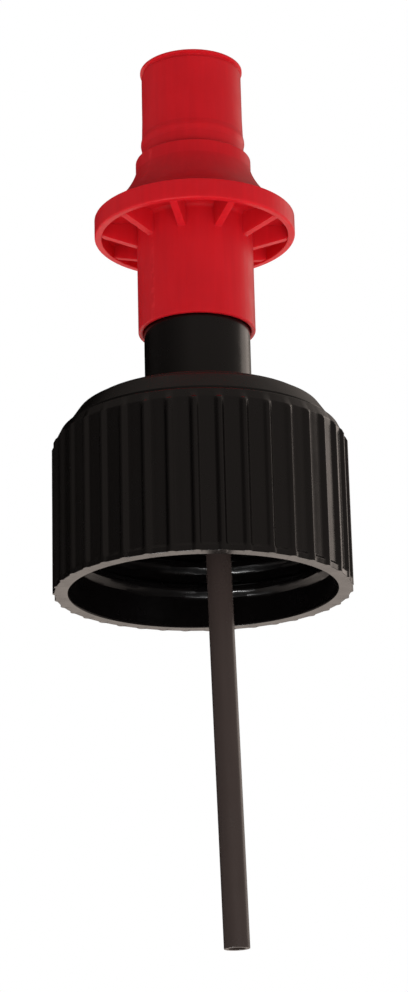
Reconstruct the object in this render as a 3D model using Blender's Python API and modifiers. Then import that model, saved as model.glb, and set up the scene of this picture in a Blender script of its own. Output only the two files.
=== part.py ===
"""Hand pump for a bottle of gear oil, drawn in metres with +Z up.

A ribbed screw cap holds the pump barrel on the bottle. A finger-flange actuator slides down
over the barrel, carries a hollow stem with the piston, and sends the oil up through a ball
valve to a hose nipple inside the top collar. A second ball valve in the barrel's foot holds
the dip tube. Heights named here are measured from the cap's lower rim; the origin is on the
pump axis, level with the lower end of the dip tube.
"""

import math

import bmesh
import bpy
from mathutils import Matrix

MM = 0.001

# Driving dimensions, in millimetres: first the closure and its standard thread.
CAP_RADIUS = 29.0
CAP_BORE_RADIUS = 26.0
THREAD_PITCH = 5.0
THREAD_WIDTH = 3.2
THREAD_BOTTOM = 5.3
THREAD_TURNS = 3.25
GRIP_RIBS = 38
FIRST_GRIP_RIB = 3.0
GRIP_DEPTH = 0.75
GRIP_WIDTH = 1.6
GRIP_TOP = 30.3
RIM_FLARE = 0.4
RIM_HEIGHT = 68.25
DECK_HEIGHT = 37.25
DECK_RADIUS = 22.4
HUB_RADIUS = 22.0
HUB_CEILING = 33.7

# Barrel, piston and stroke.
BARREL_RADIUS = 10.55
BARREL_BORE = 8.7
BARREL_TOP = 71.0
BARREL_BOTTOM = 18.6
WEB_BOTTOM = 26.4
WEB_TOP = 28.8
WEB_RADIUS = 25.3
CENTRING_RADIUS = 21.7
CENTRING_WALL = 1.7
CENTRING_TOP = 33.4
LINER_RADIUS = 25.2
LINER_HOLE = 20.6
LINER_BOTTOM = 24.9
GUSSETS = 8
FIRST_GUSSET = 22.5
GUSSET_WIDTH = 1.4
GUSSET_REACH = 19.4
GUSSET_BOTTOM = 20.6
GUIDE_RADIUS = 10.3
GUIDE_BOTTOM = 68.0
GUIDE_TOP = 72.4
WIPER_RADIUS = 5.8
WIPER_BOTTOM = 70.2
WIPER_TOP = 72.0
PISTON_RADIUS = 8.35
PISTON_BOTTOM = 58.6
PISTON_TOP = 66.6
PISTON_GROOVE = 7.1
SEAL_RADIUS = 8.5
SEAL_BOTTOM = 61.7
SEAL_TOP = 63.9
STEM_RADIUS = 4.2
STEM_BORE = 2.4
STEM_BOTTOM = 60.4
STEM_TOP = 93.3
STEM_RING = 90.9
STEM_GROOVE = 3.2

# Actuator: sleeve, finger flange and deck.
SLEEVE_RADIUS = 11.68
SLEEVE_BORE = 10.75
SLEEVE_BOTTOM = 53.6
FLANGE_RADIUS = 20.2
FLANGE_BOTTOM = 74.0
FLANGE_TOP = 78.0
FLANGE_CEILING = 76.75
FLANGE_RIBS = 10
FLANGE_RIB_WIDTH = 1.7
FIRST_FLANGE_RIB = -66.5
BELL_TOP = 88.2
ACTUATOR_DECK = 90.7
ACTUATOR_CEILING = 88.2
BOSS_RADIUS = 6.6
BOSS_TOP = 103.0
VALVE_CHAMBER = 3.7
SNAP_RADIUS = 8.9
COLLAR_RADIUS = 10.2
COLLAR_BORE = 9.1
COLLAR_TOP = 111.2
NIPPLE_TOP = 110.2
NIPPLE_BARBS = 3
BARB_PITCH = 1.9

# Check valves, springs and dip tube; a seat is a cone that opens upwards from its port.
BALL_RADIUS = 2.4
SEAT_SLACK = 0.2
INLET_PORT = 1.5
INLET_CONE = 15.65
INLET_CHAMBER = 3.1
OUTLET_PORT = 1.8
OUTLET_CONE = 94.1
FOOT_TOP = 22.2
FOOT_FLANGE = 16.5
FOOT_BOTTOM = 9.3
FOOT_RING = 20.5
PLUG_RADIUS = 8.4
SOCKET_RADIUS = 4.4
CAGE_TOP = 23.6
CAGE_HOLES = 6
RETURN_WIRE = 1.1
OUTLET_WIRE = 0.5
TUBE_OFFSET = 3.1
TUBE_RADIUS = 2.45
TUBE_BORE = 1.65
TUBE_TOP = 13.9
TUBE_TILT = 1.2
VENT_OFFSET = 15.2
VENT_RADIUS = 1.3

# Clearances, how far joined or cut shapes reach into each other, and mesh fineness.
GAP = 0.3
SLIDE_GAP = 0.2
OVERLAP = 0.4
FINE_STEPS = 40
ROUND_STEPS = 28
SMALL_STEPS = 16

RED = (0.50, 0.012, 0.018, 1.0)
BLACK = (0.012, 0.010, 0.010, 1.0)
TUBE_BROWN = (0.022, 0.014, 0.012, 1.0)
NATURAL = (0.75, 0.74, 0.70, 1.0)
RUBBER = (0.018, 0.018, 0.020, 1.0)
STEEL = (0.62, 0.62, 0.63, 1.0)


def clear_scene():
    for item in list(bpy.data.objects):
        bpy.data.objects.remove(item, do_unlink=True)


def new_collection(name):
    collection = bpy.data.collections.new(name)
    bpy.context.scene.collection.children.link(collection)
    return collection


def new_material(name, colour, roughness, metallic=0.0):
    material = bpy.data.materials.new(name)
    material.use_nodes = True
    shader = material.node_tree.nodes["Principled BSDF"]
    shader.inputs["Base Color"].default_value = colour
    shader.inputs["Roughness"].default_value = roughness
    shader.inputs["Metallic"].default_value = metallic
    return material


def new_axis(name, x=0.0, height=0.0, parent=None):
    """An empty on a joint's axis, placed by its height above the cap's rim."""
    axis = bpy.data.objects.new(name, None)
    axis.location = (x * MM, 0.0, height * MM)
    axis.parent = parent
    parts.objects.link(axis)
    return axis


def arc(centre_r, centre_z, radius, start, end, steps):
    """Points on an arc in the (radius, height) plane, from start to end in degrees."""
    points = []
    for step in range(steps + 1):
        angle = math.radians(start + (end - start) * step / steps)
        points.append((centre_r + radius * math.cos(angle), centre_z + radius * math.sin(angle)))
    return points


def pin_outline(radius, top, bottom):
    """The outline of a plain solid cylinder."""
    return [(0.0, top), (radius, top), (radius, bottom), (0.0, bottom)]


def turned_object(name, outline, steps, closed=True, centre_x=0.0):
    """Turn an outline of (radius, height) points, outer side downwards, about the Z axis."""
    edges = [(index, index + 1) for index in range(len(outline) - 1)]
    if closed:
        edges.append((len(outline) - 1, 0))
    mesh = bpy.data.meshes.new(name)
    mesh.from_pydata([(radius * MM, 0.0, height * MM) for radius, height in outline], edges, [])
    turned = bpy.data.objects.new(name, mesh)
    turned.location.x = centre_x * MM
    screw = turned.modifiers.new("turn", "SCREW")
    screw.steps = steps
    screw.render_steps = steps
    screw.use_merge_vertices = True
    screw.merge_threshold = 0.001 * MM
    return turned


def as_cutter(cutter, parent):
    cutter.parent = parent
    cutter.hide_render = True
    cutter.display_type = "WIRE"
    cutters.objects.link(cutter)
    return cutter


def combine(part, cutter, operation):
    modifier = part.modifiers.new(cutter.name, "BOOLEAN")
    modifier.operation = operation
    modifier.solver = "EXACT"
    modifier.object = cutter


def add_part(part, axis, material, cuts=(), unions=()):
    """Place a part under its axis, cut it and join shapes to it, and shade its rounds smooth."""
    part.parent = axis
    parts.objects.link(part)
    for shape in unions:
        combine(part, as_cutter(shape, axis), "UNION")
    for shape in cuts:
        combine(part, as_cutter(shape, axis), "DIFFERENCE")
    graph = bpy.context.evaluated_depsgraph_get()
    mesh = bpy.data.meshes.new_from_object(part.evaluated_get(graph))
    part.modifiers.clear()
    part.data = mesh
    mesh.materials.clear()
    mesh.materials.append(material)
    mesh.shade_smooth()
    mesh.set_sharp_from_angle(angle=math.radians(35.0))
    return part


def add_turned(name, outline, axis, material, steps=ROUND_STEPS, cuts=(), unions=()):
    return add_part(turned_object(name, outline, steps), axis, material, cuts, unions)


def add_ring(name, centre_radius, height, thickness, axis, material):
    """An O-ring."""
    outline = arc(centre_radius, height, thickness / 2, 0.0, -300.0, 5)
    return add_turned(name, outline, axis, material, SMALL_STEPS)


def add_ball(name, axis, material):
    mesh = bpy.data.meshes.new(name)
    shape = bmesh.new()
    bmesh.ops.create_uvsphere(shape, u_segments=16, v_segments=10, radius=BALL_RADIUS * MM)
    shape.to_mesh(mesh)
    shape.free()
    return add_part(bpy.data.objects.new(name, mesh), axis, material)


def rod_mesh(name, points, thickness, radii=None, resolution=2):
    """A round rod along points, as a closed mesh."""
    curve = bpy.data.curves.new(name, "CURVE")
    curve.dimensions = "3D"
    curve.bevel_depth = thickness / 2 * MM
    curve.bevel_resolution = resolution
    curve.use_fill_caps = True
    spline = curve.splines.new("POLY")
    spline.points.add(len(points) - 1)
    for index, (x, y, z) in enumerate(points):
        spline.points[index].co = (x * MM, y * MM, z * MM, 1.0)
        spline.points[index].radius = radii[index] if radii else 1.0
    guide = bpy.data.objects.new(name + "_guide", curve)
    parts.objects.link(guide)
    graph = bpy.context.evaluated_depsgraph_get()
    mesh = bpy.data.meshes.new_from_object(guide.evaluated_get(graph))
    bpy.data.objects.remove(guide, do_unlink=True)
    shape = bmesh.new()
    shape.from_mesh(mesh)
    bmesh.ops.remove_doubles(shape, verts=shape.verts, dist=0.001 * MM)
    shape.to_mesh(mesh)
    shape.free()
    return mesh


def helix(radius, bottom, top, turns, steps_per_turn, dead_turns=0.0, first_angle=0.0):
    """Points of a right-hand helix; dead_turns at each end stay level."""
    points = []
    count = round(turns * steps_per_turn)
    for step in range(count + 1):
        turn = turns * step / count
        rise = (turn - dead_turns) / (turns - 2 * dead_turns)
        height = bottom + (top - bottom) * min(max(rise, 0.0), 1.0)
        angle = math.radians(first_angle) + 2 * math.pi * turn
        points.append((radius * math.cos(angle), radius * math.sin(angle), height))
    return points


def add_spring(name, radius, wire, bottom, top, turns, axis, material):
    points = helix(radius, bottom + wire / 2, top - wire / 2, turns, 10, dead_turns=0.75)
    mesh = rod_mesh(name, points, wire, resolution=1)
    return add_part(bpy.data.objects.new(name, mesh), axis, material)


def radial_plates(name, outline, count, first_angle, thickness):
    """Flat plates round the Z axis, each standing on an outline of (radius, height) points."""
    shape = bmesh.new()
    for index in range(count):
        turn = Matrix.Rotation(math.radians(first_angle + 360.0 * index / count), 4, "Z")
        sides = []
        for side in (-1, 1):
            corners = []
            for radius, height in outline:
                corner = turn @ Matrix.Translation((radius * MM, side * thickness / 2 * MM, height * MM))
                corners.append(shape.verts.new(corner.translation))
            sides.append(corners)
        shape.faces.new(sides[0])
        shape.faces.new(reversed(sides[1]))
        for corner in range(len(outline)):
            nearby = (corner + 1) % len(outline)
            shape.faces.new((sides[0][nearby], sides[0][corner], sides[1][corner], sides[1][nearby]))
    bmesh.ops.recalc_face_normals(shape, faces=shape.faces)
    mesh = bpy.data.meshes.new(name)
    shape.to_mesh(mesh)
    shape.free()
    return bpy.data.objects.new(name, mesh)


def seated_ball_height(port_radius, cone_bottom):
    """Height of a ball resting, with its slack, on a 45-degree cone that opens upwards."""
    return cone_bottom - port_radius + (BALL_RADIUS + SEAT_SLACK) * math.sqrt(2.0)


def cap_grip_ribs():
    """Narrow upright ribs round the skirt, sloped off at their upper ends."""
    valley = CAP_RADIUS - GRIP_DEPTH
    outline = [
        (valley - OVERLAP, 0.0),
        (CAP_RADIUS, 0.0),
        (CAP_RADIUS, GRIP_TOP - 1.1),
        (valley, GRIP_TOP),
        (valley - OVERLAP, GRIP_TOP),
    ]
    return radial_plates("cap_grip_ribs", outline, GRIP_RIBS, FIRST_GRIP_RIB, GRIP_WIDTH)


def cap_thread():
    """The bottle thread inside the skirt, fading into the wall at both ends."""
    steps_per_turn = 20
    top = THREAD_BOTTOM + THREAD_PITCH * THREAD_TURNS
    centre = CAP_BORE_RADIUS + 0.25
    points = helix(centre, THREAD_BOTTOM, top, THREAD_TURNS, steps_per_turn, first_angle=-90.0)
    fade = 4
    radii = []
    for index in range(len(points)):
        to_end = min(index, len(points) - 1 - index)
        radii.append(0.35 + 0.65 * min(to_end / fade, 1.0))
    return bpy.data.objects.new("cap_thread", rod_mesh("cap_thread", points, THREAD_WIDTH, radii))


def add_screw_cap(axis, material):
    """Flat deck, conical shoulder with a fine step at its foot, and a threaded skirt, flared at the rim."""
    valley = CAP_RADIUS - GRIP_DEPTH
    lip = BARREL_RADIUS + GAP
    lip_top = DECK_HEIGHT + 0.4
    outline = [(lip + 0.9, lip_top), (lip + 1.2, DECK_HEIGHT)]
    outline += arc(DECK_RADIUS - 0.5, DECK_HEIGHT - 0.5, 0.5, 90.0, 0.0, 2)
    outline += [
        (DECK_RADIUS + 0.2, DECK_HEIGHT - 0.8),
        (DECK_RADIUS + 1.5, DECK_HEIGHT - 1.0),
        (DECK_RADIUS + 2.1, DECK_HEIGHT - 1.8),
        (DECK_RADIUS + 3.9, DECK_HEIGHT - 4.45),
        (DECK_RADIUS + 3.8, DECK_HEIGHT - 4.8),
        (DECK_RADIUS + 4.3, DECK_HEIGHT - 5.05),
    ]
    outline += arc(valley - 1.0, GRIP_TOP - 0.2, 1.0, 60.0, 0.0, 2)
    outline += [
        (valley, 1.6),
        (valley + RIM_FLARE, 1.0),
        (valley + RIM_FLARE, 0.1),
        (valley + RIM_FLARE - 0.1, 0.0),
        (CAP_BORE_RADIUS + 0.1, 0.0),
        (CAP_BORE_RADIUS, 0.3),
        (CAP_BORE_RADIUS, WEB_TOP + GAP),
        (HUB_RADIUS, WEB_TOP + GAP),
        (HUB_RADIUS, HUB_CEILING),
        (lip, HUB_CEILING),
        (lip, lip_top),
    ]
    shapes = [cap_grip_ribs(), cap_thread()]
    add_turned("screw_cap", outline, axis, material, FINE_STEPS, unions=shapes)


def add_cap_liner(axis, material):
    top = WEB_BOTTOM - GAP
    outline = [(LINER_RADIUS, top), (LINER_RADIUS, LINER_BOTTOM)]
    outline += [(LINER_HOLE, LINER_BOTTOM), (LINER_HOLE, top)]
    add_turned("cap_liner", outline, axis, material)


def add_barrel(axis, material):
    outline = [
        (BARREL_RADIUS - 0.3, BARREL_TOP),
        (BARREL_RADIUS, BARREL_TOP - 0.3),
        (BARREL_RADIUS, WEB_TOP),
        (CENTRING_RADIUS - CENTRING_WALL, WEB_TOP),
        (CENTRING_RADIUS - CENTRING_WALL, CENTRING_TOP),
        (CENTRING_RADIUS, CENTRING_TOP),
        (CENTRING_RADIUS, WEB_TOP),
        (WEB_RADIUS, WEB_TOP),
        (WEB_RADIUS, WEB_BOTTOM),
        (BARREL_RADIUS, WEB_BOTTOM),
        (BARREL_RADIUS, BARREL_BOTTOM),
        (BARREL_BORE, BARREL_BOTTOM),
        (BARREL_BORE, BARREL_TOP),
    ]
    gusset = [
        (BARREL_RADIUS - OVERLAP, GUSSET_BOTTOM),
        (GUSSET_REACH, WEB_BOTTOM - 0.7),
        (GUSSET_REACH, WEB_BOTTOM + OVERLAP),
        (BARREL_RADIUS - OVERLAP, WEB_BOTTOM + OVERLAP),
    ]
    gussets = radial_plates("barrel_gussets", gusset, GUSSETS, FIRST_GUSSET, GUSSET_WIDTH)
    vent = pin_outline(VENT_RADIUS, WEB_TOP + OVERLAP, WEB_BOTTOM - OVERLAP)
    vent_hole = turned_object("vent_hole", vent, 20, closed=False, centre_x=-VENT_OFFSET)
    add_turned("barrel", outline, axis, material, cuts=[vent_hole], unions=[gussets])


def add_vent_valve(axis, material):
    """A rubber umbrella that lets air into the bottle and keeps oil from the vent hole."""
    stalk = VENT_RADIUS - 0.35
    head = WEB_TOP + GAP
    skirt = WEB_BOTTOM - GAP
    outline = [(0.0, head + 1.8), (0.9, head + 1.5), (1.7, head + 0.5), (1.7, head), (stalk, head)]
    outline += [(stalk, skirt), (3.0, skirt), (3.0, skirt - 0.3), (1.6, skirt - 0.9), (0.0, skirt - 1.1)]
    valve = turned_object("vent_valve", outline, SMALL_STEPS, closed=False, centre_x=-VENT_OFFSET)
    add_part(valve, axis, material)


def add_foot_valve_body(axis, material):
    """The plug in the barrel's lower end: O-ring groove, ball seat and dip tube socket."""
    plug = [
        (0.0, FOOT_TOP),
        (PLUG_RADIUS - 0.4, FOOT_TOP),
        (PLUG_RADIUS, FOOT_TOP - 0.4),
        (PLUG_RADIUS, FOOT_RING + 0.8),
        (PLUG_RADIUS - 1.2, FOOT_RING + 0.8),
        (PLUG_RADIUS - 1.2, FOOT_RING - 0.8),
        (PLUG_RADIUS, FOOT_RING - 0.8),
        (PLUG_RADIUS, BARREL_BOTTOM - GAP),
        (BARREL_RADIUS, BARREL_BOTTOM - GAP),
        (BARREL_RADIUS, FOOT_FLANGE + 0.3),
        (BARREL_RADIUS - 0.3, FOOT_FLANGE),
        (0.0, FOOT_FLANGE),
    ]
    boss = [
        (0.0, FOOT_FLANGE + OVERLAP),
        (SOCKET_RADIUS, FOOT_FLANGE + OVERLAP),
        (SOCKET_RADIUS, FOOT_BOTTOM + 0.4),
        (SOCKET_RADIUS - 0.4, FOOT_BOTTOM),
        (0.0, FOOT_BOTTOM),
    ]
    passage = [
        (0.0, FOOT_TOP + OVERLAP),
        (INLET_CHAMBER, FOOT_TOP + OVERLAP),
        (INLET_CHAMBER, INLET_CONE + INLET_CHAMBER - INLET_PORT),
        (INLET_PORT, INLET_CONE),
        (INLET_PORT, TUBE_TOP + GAP),
        (TUBE_RADIUS + SLIDE_GAP, TUBE_TOP + GAP),
        (TUBE_RADIUS + SLIDE_GAP, FOOT_BOTTOM - OVERLAP),
        (0.0, FOOT_BOTTOM - OVERLAP),
    ]
    body = turned_object("foot_valve_body", plug, ROUND_STEPS, closed=False)
    socket = turned_object("tube_socket", boss, SMALL_STEPS, closed=False, centre_x=TUBE_OFFSET)
    bore = turned_object("inlet_passage", passage, SMALL_STEPS, closed=False, centre_x=TUBE_OFFSET)
    add_part(body, axis, material, cuts=[bore], unions=[socket])


def add_inlet_ball_cage(axis, material):
    """The perforated disc that keeps the inlet ball in and carries the spring."""
    bottom = FOOT_TOP + GAP
    hole_radius = 0.85
    holes_reach = 2.1
    outline = [(0.0, CAGE_TOP), (PLUG_RADIUS - 0.3, CAGE_TOP), (PLUG_RADIUS, CAGE_TOP - 0.3)]
    outline += [(PLUG_RADIUS, bottom), (0.0, bottom)]
    pin = pin_outline(hole_radius, CAGE_TOP + OVERLAP, bottom - OVERLAP)
    holes = []
    for index in range(CAGE_HOLES):
        angle = 2 * math.pi * index / CAGE_HOLES
        across, along = holes_reach * math.cos(angle), holes_reach * math.sin(angle)
        hole = turned_object("cage_hole_%d" % index, pin, 12, closed=False)
        hole.location = ((TUBE_OFFSET + across) * MM, along * MM, 0.0)
        holes.append(hole)
    cage = turned_object("inlet_ball_cage", outline, SMALL_STEPS, closed=False)
    add_part(cage, axis, material, cuts=holes)


def tube_points(first, last):
    """The dip tube's centre line: upright in its socket, then bent to a slight tilt."""
    bend_top = 11.0
    bend_bottom = 0.0
    slope = math.tan(math.radians(TUBE_TILT))
    heights = [first, bend_top]
    heights += [bend_top + (bend_bottom - bend_top) * step / 4 for step in range(1, 5)]
    heights += [bend_bottom + (last - bend_bottom) * step / 3 for step in range(1, 4)]
    points = []
    for height in heights:
        bent = min(max(bend_top - height, 0.0), bend_top - bend_bottom)
        straight = max(bend_bottom - height, 0.0)
        shift = slope * (bent * bent / (2 * (bend_top - bend_bottom)) + straight)
        points.append((TUBE_OFFSET + shift, 0.0, height))
    return points


def add_dip_tube(axis, material):
    outer = rod_mesh("dip_tube", tube_points(TUBE_TOP, -RIM_HEIGHT), 2 * TUBE_RADIUS)
    inner = rod_mesh("dip_tube_bore", tube_points(TUBE_TOP + 1.0, -RIM_HEIGHT - 1.0), 2 * TUBE_BORE)
    bore = bpy.data.objects.new("dip_tube_bore", inner)
    add_part(bpy.data.objects.new("dip_tube", outer), axis, material, cuts=[bore])


def add_barrel_collar(axis, material):
    """The guide that closes the barrel's top, stops the piston and holds the wiper."""
    hole = STEM_RADIUS + 0.25
    outline = [
        (GUIDE_RADIUS - 0.3, GUIDE_TOP),
        (GUIDE_RADIUS, GUIDE_TOP - 0.3),
        (GUIDE_RADIUS, BARREL_TOP + GAP),
        (BARREL_BORE - GAP, BARREL_TOP + GAP),
        (BARREL_BORE - GAP, GUIDE_BOTTOM + 0.3),
        (BARREL_BORE - 0.6, GUIDE_BOTTOM),
        (hole, GUIDE_BOTTOM),
        (hole, WIPER_BOTTOM - GAP),
        (WIPER_RADIUS + GAP, WIPER_BOTTOM - GAP),
        (WIPER_RADIUS + GAP, GUIDE_TOP),
    ]
    add_turned("barrel_collar", outline, axis, material)


def add_stem_wiper(axis, material):
    lip = STEM_RADIUS + SLIDE_GAP
    outline = [
        (WIPER_RADIUS - 0.3, WIPER_TOP),
        (WIPER_RADIUS, WIPER_TOP - 0.3),
        (WIPER_RADIUS, WIPER_BOTTOM),
        (lip + 0.4, WIPER_BOTTOM),
        (lip + 0.4, WIPER_BOTTOM + 0.8),
        (lip, WIPER_TOP - 0.4),
        (lip, WIPER_TOP),
    ]
    add_turned("stem_wiper", outline, axis, material, SMALL_STEPS)


def add_piston(axis, material):
    outline = [
        (PISTON_RADIUS - 0.4, PISTON_TOP),
        (PISTON_RADIUS, PISTON_TOP - 0.4),
        (PISTON_RADIUS, SEAL_TOP + GAP),
        (PISTON_GROOVE, SEAL_TOP + GAP),
        (PISTON_GROOVE, SEAL_BOTTOM - GAP),
        (PISTON_RADIUS, SEAL_BOTTOM - GAP),
        (PISTON_RADIUS, PISTON_BOTTOM + 0.4),
        (PISTON_RADIUS - 0.4, PISTON_BOTTOM),
        (STEM_BORE, PISTON_BOTTOM),
        (STEM_BORE, STEM_BOTTOM - GAP),
        (STEM_RADIUS + 0.25, STEM_BOTTOM - GAP),
        (STEM_RADIUS + 0.25, PISTON_TOP),
    ]
    add_turned("piston", outline, axis, material)


def add_piston_seal(axis, material):
    """A cup seal, open upwards, in the piston's groove."""
    inner = PISTON_GROOVE + GAP
    outline = [
        (SEAL_RADIUS - 0.2, SEAL_TOP),
        (SEAL_RADIUS, SEAL_TOP - 0.3),
        (SEAL_RADIUS, SEAL_BOTTOM + 0.3),
        (SEAL_RADIUS - 0.3, SEAL_BOTTOM),
        (inner + 0.2, SEAL_BOTTOM),
        (inner, SEAL_BOTTOM + 0.25),
        (inner, SEAL_TOP),
        (inner + 0.2, SEAL_TOP),
        (inner + 0.45, SEAL_TOP - 1.1),
    ]
    add_turned("piston_seal", outline, axis, material)


def add_piston_stem(axis, material):
    outline = [
        (STEM_RADIUS - 0.3, STEM_TOP),
        (STEM_RADIUS, STEM_TOP - 0.3),
        (STEM_RADIUS, STEM_RING + 0.7),
        (STEM_GROOVE, STEM_RING + 0.7),
        (STEM_GROOVE, STEM_RING - 0.7),
        (STEM_RADIUS, STEM_RING - 0.7),
        (STEM_RADIUS, PISTON_TOP + 1.1),
        (STEM_RADIUS + 1.2, PISTON_TOP + 1.1),
        (STEM_RADIUS + 1.2, PISTON_TOP + GAP),
        (STEM_RADIUS, PISTON_TOP + GAP),
        (STEM_RADIUS, STEM_BOTTOM + 0.3),
        (STEM_RADIUS - 0.3, STEM_BOTTOM),
        (STEM_BORE, STEM_BOTTOM),
        (STEM_BORE, STEM_TOP),
    ]
    add_turned("piston_stem", outline, axis, material, SMALL_STEPS)


def actuator_bell():
    """The concave flare from the deck's edge out to the flange, from the top down."""
    reach = FLANGE_RADIUS - SLEEVE_RADIUS
    points = []
    steps = 6
    for step in range(1, steps + 1):
        fall = step / steps
        share = 0.66 * fall ** 1.3 + 0.34 * fall ** 4
        height = BELL_TOP + (FLANGE_TOP - BELL_TOP) * fall
        points.append((SLEEVE_RADIUS + reach * share, height))
    return points


def add_actuator(axis, material):
    """Sleeve, ribbed finger flange, bell and the boss that holds stem and nipple."""
    outline = [
        (BOSS_RADIUS, BOSS_TOP),
        (BOSS_RADIUS, ACTUATOR_DECK),
        (SNAP_RADIUS - 1.1, ACTUATOR_DECK),
        (SNAP_RADIUS - 1.1, ACTUATOR_DECK + 4.7),
        (SNAP_RADIUS - 0.2, ACTUATOR_DECK + 4.7),
        (SNAP_RADIUS + 0.3, ACTUATOR_DECK + 3.6),
        (SNAP_RADIUS, ACTUATOR_DECK + 3.0),
        (SNAP_RADIUS, ACTUATOR_DECK),
        (SLEEVE_RADIUS - 0.3, ACTUATOR_DECK),
        (SLEEVE_RADIUS, ACTUATOR_DECK - 0.3),
        (SLEEVE_RADIUS, BELL_TOP),
    ]
    outline += actuator_bell()
    outline += arc(FLANGE_RADIUS - 0.4, FLANGE_BOTTOM + 0.4, 0.4, 0.0, -90.0, 3)
    outline += [
        (FLANGE_RADIUS - 1.4, FLANGE_BOTTOM),
        (FLANGE_RADIUS - 1.5, FLANGE_CEILING),
        (SLEEVE_RADIUS + 0.6, FLANGE_CEILING),
        (SLEEVE_RADIUS, FLANGE_CEILING - 0.6),
        (SLEEVE_RADIUS, SLEEVE_BOTTOM + 0.2),
        (SLEEVE_RADIUS - 0.2, SLEEVE_BOTTOM),
        (SLEEVE_BORE + 0.2, SLEEVE_BOTTOM),
        (SLEEVE_BORE, SLEEVE_BOTTOM + 0.2),
        (SLEEVE_BORE, ACTUATOR_CEILING),
        (STEM_RADIUS + GAP, ACTUATOR_CEILING),
        (STEM_RADIUS + GAP, STEM_TOP + GAP),
        (OUTLET_PORT, STEM_TOP + GAP),
        (OUTLET_PORT, OUTLET_CONE),
        (VALVE_CHAMBER, OUTLET_CONE + VALVE_CHAMBER - OUTLET_PORT),
        (VALVE_CHAMBER, BOSS_TOP - 1.4),
        (BOSS_RADIUS - 1.3, BOSS_TOP - 1.4),
        (BOSS_RADIUS - 1.3, BOSS_TOP),
    ]
    rib = [
        (SLEEVE_RADIUS - OVERLAP, FLANGE_BOTTOM - 2.0),
        (FLANGE_RADIUS - 1.0, FLANGE_BOTTOM + 0.25),
        (FLANGE_RADIUS - 1.0, FLANGE_CEILING + OVERLAP),
        (SLEEVE_RADIUS - OVERLAP, FLANGE_CEILING + OVERLAP),
    ]
    ribs = radial_plates("flange_ribs", rib, FLANGE_RIBS, FIRST_FLANGE_RIB, FLANGE_RIB_WIDTH)
    add_turned("actuator", outline, axis, material, FINE_STEPS, unions=[ribs])


def add_hose_collar(axis, material):
    """The snap-on sleeve round the hose nipple, with its thin lip and snap bead."""
    foot = ACTUATOR_DECK + GAP
    outline = [
        (COLLAR_RADIUS + 0.1, COLLAR_TOP),
        (COLLAR_RADIUS + 0.3, COLLAR_TOP - 0.15),
        (COLLAR_RADIUS + 0.3, COLLAR_TOP - 0.55),
        (COLLAR_RADIUS - 0.15, COLLAR_TOP - 0.85),
        (COLLAR_RADIUS - 0.15, COLLAR_TOP - 1.3),
        (COLLAR_RADIUS, COLLAR_TOP - 1.6),
        (COLLAR_RADIUS + 0.02, foot + 9.0),
        (COLLAR_RADIUS + 0.12, foot + 5.0),
        (COLLAR_RADIUS + 0.32, foot + 4.1),
        (COLLAR_RADIUS + 0.36, foot + 3.6),
        (COLLAR_RADIUS + 0.22, foot + 2.9),
        (COLLAR_RADIUS + 0.16, foot + 2.4),
        (COLLAR_RADIUS + 0.22, foot + 0.3),
        (COLLAR_RADIUS, foot),
        (COLLAR_BORE + 0.2, foot),
        (COLLAR_BORE + 0.2, foot + 2.4),
        (COLLAR_BORE + 0.45, foot + 3.0),
        (COLLAR_BORE + 0.45, foot + 3.6),
        (COLLAR_BORE, foot + 5.0),
        (COLLAR_BORE, COLLAR_TOP - 0.4),
        (COLLAR_BORE + 0.3, COLLAR_TOP),
    ]
    add_turned("hose_collar", outline, axis, material)


def add_outlet_nipple(axis, material):
    """The barbed hose nipple, whose flanged foot plugs the outlet valve chamber."""
    outline = [(2.8, NIPPLE_TOP)]
    for index in range(NIPPLE_BARBS):
        shoulder = NIPPLE_TOP - BARB_PITCH * index - 1.5
        outline += [(3.6, shoulder), (3.05, shoulder), (3.05, shoulder + 1.5 - BARB_PITCH)]
    outline += [
        (3.05, BOSS_TOP + 1.4),
        (BOSS_RADIUS - 0.5, BOSS_TOP + 1.4),
        (BOSS_RADIUS - 0.2, BOSS_TOP + 1.1),
        (BOSS_RADIUS - 0.2, BOSS_TOP + GAP),
        (VALVE_CHAMBER - GAP, BOSS_TOP + GAP),
        (VALVE_CHAMBER - GAP, BOSS_TOP - 1.45),
        (1.2, BOSS_TOP - 1.45),
        (1.2, BOSS_TOP),
        (1.9, BOSS_TOP + 0.7),
        (1.9, NIPPLE_TOP),
    ]
    add_turned("outlet_nipple", outline, axis, material, SMALL_STEPS)


clear_scene()
parts = new_collection("gear_oil_pump")
cutters = new_collection("cutters")

red = new_material("red_plastic", RED, 0.35)
black = new_material("black_plastic", BLACK, 0.25)
tube_brown = new_material("dip_tube_plastic", TUBE_BROWN, 0.3)
natural = new_material("natural_plastic", NATURAL, 0.4)
rubber = new_material("black_rubber", RUBBER, 0.7)
steel = new_material("steel", STEEL, 0.25, 1.0)

rim = new_axis("rim_level", height=RIM_HEIGHT)
cap_axis = new_axis("cap_axis", parent=rim)
piston_axis = new_axis("piston_axis", parent=rim)
head_axis = new_axis("head_axis", parent=piston_axis)
inlet_height = seated_ball_height(INLET_PORT, INLET_CONE)
outlet_height = seated_ball_height(OUTLET_PORT, OUTLET_CONE)
inlet_axis = new_axis("inlet_ball_axis", TUBE_OFFSET, inlet_height, rim)
outlet_axis = new_axis("outlet_ball_axis", 0.0, outlet_height, head_axis)

add_screw_cap(cap_axis, black)

add_barrel(rim, black)
add_cap_liner(rim, rubber)
add_vent_valve(rim, rubber)
add_foot_valve_body(rim, black)
add_ring("foot_o_ring", 7.95, FOOT_RING, 1.0, rim, rubber)
add_inlet_ball_cage(rim, natural)
add_dip_tube(rim, tube_brown)
add_barrel_collar(rim, natural)
add_stem_wiper(rim, rubber)
add_spring("return_spring", 6.6, RETURN_WIRE, CAGE_TOP + GAP, PISTON_BOTTOM - GAP, 7.5, rim, steel)
add_ball("inlet_ball", inlet_axis, steel)

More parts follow.
